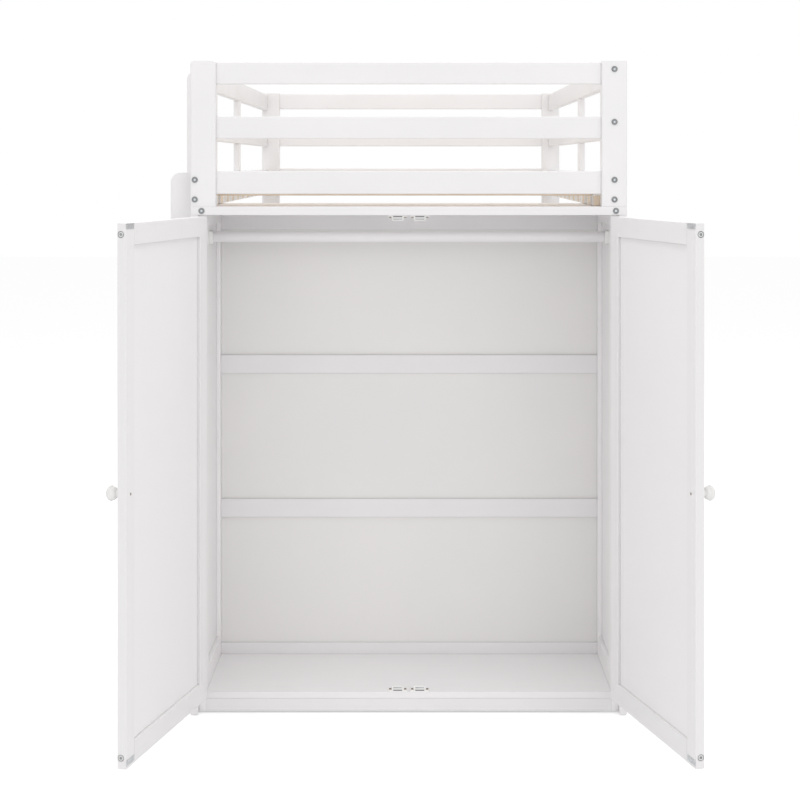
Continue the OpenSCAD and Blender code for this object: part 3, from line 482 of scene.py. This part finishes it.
def bolt_heads(name):
    """Centre, outward direction, socket radius and direction of a socket corner of every bolt of a node."""
    found = []
    for corners in solids(name):
        middle = corners.mean(0)
        axis = np.linalg.svd(corners - middle, full_matrices=False)[2][0]
        along = (corners - middle) @ axis
        wide = [max(np.linalg.norm(np.cross(c - middle, axis)) for c in corners[abs(along - end) < FLAT])
                for end in (along.min(), along.max())]
        if wide[0] > wide[1]:
            axis, along = -axis, -along
        face = corners[abs(along - along.max()) < FLAT]
        off = np.linalg.norm(face - face.mean(0), axis=1)
        inner = face[off < HEAD_SHARE * off.max()]
        centre = inner.mean(0)
        corner = inner[0] - centre
        corner = corner - axis * (corner @ axis)
        radius = float(np.linalg.norm(corner))
        found.append((Vector(centre), Vector(axis), radius, Vector(corner).normalized()))
    return found


def socket_linings(name, piece, colour, body):
    """A thin cup of six walls and a dished bottom in the socket of every bolt of a CAD node."""
    built = bmesh.new()
    for centre, out, radius, first in bolt_heads(name):
        second = out.cross(first)
        turn = Matrix((first, second, out)).transposed().to_4x4()
        place = Matrix.Translation(centre) @ turn
        loops = []
        for depth, share in SOCKET_LOOPS:
            reach = (radius - SOCKET_GAP) * share
            loop = []
            for k in range(6):
                angle = k * math.pi / 3
                corner = Vector((reach * math.cos(angle), reach * math.sin(angle), -depth))
                loop.append(built.verts.new(place @ corner))
            loops.append(loop)
        for upper, lower in zip(loops, loops[1:]):
            for k in range(6):
                built.faces.new((upper[k], upper[(k + 1) % 6], lower[(k + 1) % 6], lower[k]))
        built.faces.new(loops[-1])
    finish_piece(piece, built, zinc_steel(piece, colour, SOCKET_ROUGH), body)


# Heads take the darker steel, painted shade; the socket linings take the bright steel, a painted reflection.
dress(["frame_bolts"], zinc_steel("bolt_steel", BOLT_RING_SHADED, RING_ROUGH))
dress(["barrel_nuts"], PLATED)
socket_linings("frame_bolts", "frame_bolt_sockets", SOCKET_PAINTED_LIGHT, "bed")


# Hinges.
# Pressed steel leaves rolled round a pin.
dress(["frame_hinge_leaves", "hinge_pins", "left_door_hinge_leaves", "right_door_hinge_leaves"], PLATED)


# Doors: framed in the same lacquered pine, with a thin panel in grooves and a bolt into each rail's end.
# Each has a polished white knob held by a brown screw, and two small strike plates that meet the catches.
# The bolts have a lip painted bright, a painted highlight, round a socket painted dark, painted shade, and
# the free edge is painted darker, painted shade.
DOOR_ANGLES = {"left": -103, "right": 104.5}
# The door tones are a lighter copy of the bed's lacquer: painted light.
DOOR_LACQUER_LIT = ((0.900, 0.884, 0.890), (0.886, 0.872, 0.878))
# The next tone is painted on each door's free edge: painted shade.
DOOR_EDGE_SHADE = (0.812, 0.797, 0.803)
STRIKE_STEEL = (0.77, 0.79, 0.81)
DOOR_BOLT_RING = (0.50, 0.505, 0.505)
# The lip's bright steel is a painted highlight.
BOLT_LIP_HIGHLIGHT = (0.90, 0.905, 0.905)
LIP_REACH = (1.12, 1.30, 1.62, 1.74)
LIP_RISE = (0.00001, 0.00012, 0.00012, 0.00001)
LIP_STEPS = 24
LIP_ROUGH = 0.35
# The door bolts' socket steel is painted dark: painted shade inside the socket.
SOCKET_PAINTED_SHADE = (0.42, 0.43, 0.44)
KNOB_SCREW = (0.42, 0.370, 0.330)
STRIKE_SCREW = (0.80, 0.82, 0.84)
SCREW_GLOSS = (0.34, 0.5)
KNOB_REACH = 0.10
KNOB_WHITE = (0.84, 0.835, 0.822)
KNOB_ROUGH = 0.28
STRIKE_ROUGH = 0.42


def bolt_lips(name, piece, body):
    """A low rounded ring round the socket of every bolt of a CAD node."""
    built = bmesh.new()
    for centre, out, radius, first in bolt_heads(name):
        second = out.cross(first)
        loops = []
        for reach, rise in zip(LIP_REACH, LIP_RISE):
            loop = []
            for k in range(LIP_STEPS):
                angle = k * 2 * math.pi / LIP_STEPS
                ray = first * math.cos(angle) + second * math.sin(angle)
                loop.append(built.verts.new(centre + out * rise + ray * radius * reach))
            loops.append(loop)
        for inner, outer in zip(loops, loops[1:]):
            for k in range(LIP_STEPS):
                following = (k + 1) % LIP_STEPS
                built.faces.new((inner[k], outer[k], outer[following], inner[following]))
    # The lip takes the bright steel: painted highlight.
    finish_piece(piece, built, zinc_steel(piece, BOLT_LIP_HIGHLIGHT, LIP_ROUGH), body)


def door_screws(name):
    """The knob's screw, at half height, is browned; the strike plates' screws are bright."""
    material, tree, shader, place = start_material(name)
    height = tree.nodes.new("ShaderNodeSeparateXYZ")
    tree.links.new(place, height.inputs["Vector"])
    low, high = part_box("left_door_panel")
    bright = spread(tree, height.outputs["Z"], high.z - KNOB_REACH, high.z - KNOB_REACH / 2, 0, 1)
    under = spread(tree, height.outputs["Z"], low.z + KNOB_REACH / 2, low.z + KNOB_REACH, 1, 0)
    knob_tone = blend_colours(tree, bright, KNOB_SCREW, STRIKE_SCREW)
    mottle = noise(tree, place, MOTTLE_SCALE, 3)
    tree.links.new(blend_colours(tree, under, knob_tone, STRIKE_SCREW), shader.inputs["Base Color"])
    tree.links.new(spread(tree, mottle, *NOISE_SPAN, *SCREW_GLOSS), shader.inputs["Roughness"])
    shader.inputs["Metallic"].default_value = 1.0
    return material


KNOB = moulded_plastic("polished_knob", KNOB_WHITE, KNOB_ROUGH)
STRIKE = zinc_steel("strike_steel", STRIKE_STEEL, STRIKE_ROUGH)
DOOR_BOLT = zinc_steel("door_bolt_steel", DOOR_BOLT_RING, PLATED_ROUGH)
SCREW = door_screws("door_screw_steel")
for side, angle in DOOR_ANGLES.items():
    body = side + "_door"
    turn = math.radians(angle if side == "left" else angle - 180)
    # The free edge is painted darker, painted shade.
    door_edge_shade = ((math.cos(turn), math.sin(turn), 0), DOOR_EDGE_SHADE)
    # Stiles and rails take the lighter door copy of the lacquer, painted light.
    stile_coat = lacquered_board(body + "_stile_lacquer", BOARD_AXES["z"], DOOR_LACQUER_LIT, door_edge_shade)
    dress([body + "_stiles"], stile_coat)
    dress([body + "_rails"], lacquered_board(body + "_lacquer", (0, 0, turn), DOOR_LACQUER_LIT))
    dress([body + "_panel"], PANEL)
    dress([body + "_screws"], SCREW)
    dress([body + "_bolts"], DOOR_BOLT)
    dress([side + "_strike_plates"], STRIKE)
    dress([side + "_knob"], KNOB)
    # Door bolt sockets are painted dark, painted shade; their lips are painted bright, a painted highlight.
    socket_linings(body + "_bolts", body + "_bolt_sockets", SOCKET_PAINTED_SHADE, body)
    bolt_lips(body + "_bolts", body + "_bolt_lips", body)


# Floor, studio light and camera.
# A white sweep that keeps the object's soft shadow, an even dome of light with large soft panels,
# and a shifted lens that stands level with the guards.
FLOOR_BOUNCE = 0.92
FLOOR_SEEN = 0.80
FLOOR_LIFT = 0.42
DOME = 0.70
# Each panel: name, place, point it faces, width, height, watts.
PANELS = (
    ("overhead_panel", (0, -0.6, 4.4), (0, -0.4, 0), 4.8, 3.6, 82),
    ("front_panel", (0, -7.5, 1.3), (0, -0.6, 0.9), 8.0, 2.8, 36),
    ("left_panel", (-4.3, -7.6, 2.2), (0.1, -0.5, 0.9), 4.0, 4.4, 42),
    ("right_panel", (4.3, -7.6, 2.2), (-0.1, -0.5, 0.9), 4.0, 4.4, 72),
)
PLANE_SIZE = 40

bpy.ops.mesh.primitive_plane_add(size=PLANE_SIZE, location=(0, 0, 0))
floor = bpy.context.object
floor.name = "studio_floor"
floor_material = bpy.data.materials.new("studio_floor")
floor_material.use_nodes = True
floor_tree = floor_material.node_tree
floor_tree.nodes.clear()
surface = floor_tree.nodes.new("ShaderNodeBsdfDiffuse")
shade = floor_tree.nodes.new("ShaderNodeLightPath")
level = floor_tree.nodes.new("ShaderNodeMix")
level.data_type = "RGBA"
level.inputs["A"].default_value = (FLOOR_BOUNCE, FLOOR_BOUNCE, FLOOR_BOUNCE, 1)
level.inputs["B"].default_value = (FLOOR_SEEN, FLOOR_SEEN, FLOOR_SEEN, 1)
floor_tree.links.new(shade.outputs["Is Camera Ray"], level.inputs["Factor"])
floor_tree.links.new(level.outputs["Result"], surface.inputs["Color"])
lift = floor_tree.nodes.new("ShaderNodeEmission")
lift_seen = floor_tree.nodes.new("ShaderNodeMath")
lift_seen.operation = "MULTIPLY"
lift_seen.inputs[1].default_value = FLOOR_LIFT
floor_tree.links.new(shade.outputs["Is Camera Ray"], lift_seen.inputs[0])
floor_tree.links.new(lift_seen.outputs[0], lift.inputs["Strength"])
both = floor_tree.nodes.new("ShaderNodeAddShader")
floor_tree.links.new(surface.outputs["BSDF"], both.inputs[0])
floor_tree.links.new(lift.outputs["Emission"], both.inputs[1])
shown = floor_tree.nodes.new("ShaderNodeOutputMaterial")
floor_tree.links.new(both.outputs["Shader"], shown.inputs["Surface"])
floor.data.materials.append(floor_material)

world = bpy.data.worlds.new("studio")
bpy.context.scene.world = world
world.use_nodes = True
world_tree = world.node_tree
world_tree.nodes.clear()
# The lens and mirrored surfaces see plain white; all else is lit by the softer dome.
seen = world_tree.nodes.new("ShaderNodeBackground")
seen.inputs["Color"].default_value = (1, 1, 1, 1)
seen.inputs["Strength"].default_value = 1.0
lit = world_tree.nodes.new("ShaderNodeBackground")
lit.inputs["Color"].default_value = (1, 1, 1, 1)
lit.inputs["Strength"].default_value = DOME
rays = world_tree.nodes.new("ShaderNodeLightPath")
direct = world_tree.nodes.new("ShaderNodeMath")
direct.operation = "MAXIMUM"
world_tree.links.new(rays.outputs["Is Camera Ray"], direct.inputs[0])
world_tree.links.new(rays.outputs["Is Glossy Ray"], direct.inputs[1])
clear = world_tree.nodes.new("ShaderNodeMath")
clear.operation = "MAXIMUM"
world_tree.links.new(direct.outputs[0], clear.inputs[0])
world_tree.links.new(rays.outputs["Is Transmission Ray"], clear.inputs[1])
choice = world_tree.nodes.new("ShaderNodeMixShader")
world_tree.links.new(clear.outputs[0], choice.inputs["Fac"])
world_tree.links.new(lit.outputs["Background"], choice.inputs[1])
world_tree.links.new(seen.outputs["Background"], choice.inputs[2])
sky = world_tree.nodes.new("ShaderNodeOutputWorld")
world_tree.links.new(choice.outputs["Shader"], sky.inputs["Surface"])


def light_panel(name, at, aim, wide, high, energy):
    data = bpy.data.lights.new(name, "AREA")
    data.shape = "RECTANGLE"
    data.size = wide
    data.size_y = high
    data.energy = energy
    lamp = bpy.data.objects.new(name, data)
    lamp.location = at
    lamp.rotation_euler = (Vector(aim) - Vector(at)).to_track_quat("-Z", "Y").to_euler()
    lamp.visible_camera = False
    lamp.visible_glossy = False
    bpy.context.scene.collection.objects.link(lamp)


for panel in PANELS:
    light_panel(*panel)

FRONT_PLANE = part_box("front_right_post")[0].y
CAMERA_BACK = 4.25
CAMERA_SIDE = 0.0148
CAMERA_HEIGHT = 1.3485
SENSOR_WIDTH = 36
LENS = 78.4
LENS_SHIFT = (-0.0185, -0.2966)
camera_data = bpy.data.cameras.new("camera")
camera_data.sensor_width = SENSOR_WIDTH
camera_data.lens = LENS
camera_data.shift_x, camera_data.shift_y = LENS_SHIFT
camera = bpy.data.objects.new("camera", camera_data)
camera.location = (CAMERA_SIDE, FRONT_PLANE - CAMERA_BACK, CAMERA_HEIGHT)
camera.rotation_euler = (math.pi / 2, 0, 0)
bpy.context.scene.collection.objects.link(camera)
bpy.context.scene.camera = camera

bpy.context.scene.view_settings.view_transform = "Standard"
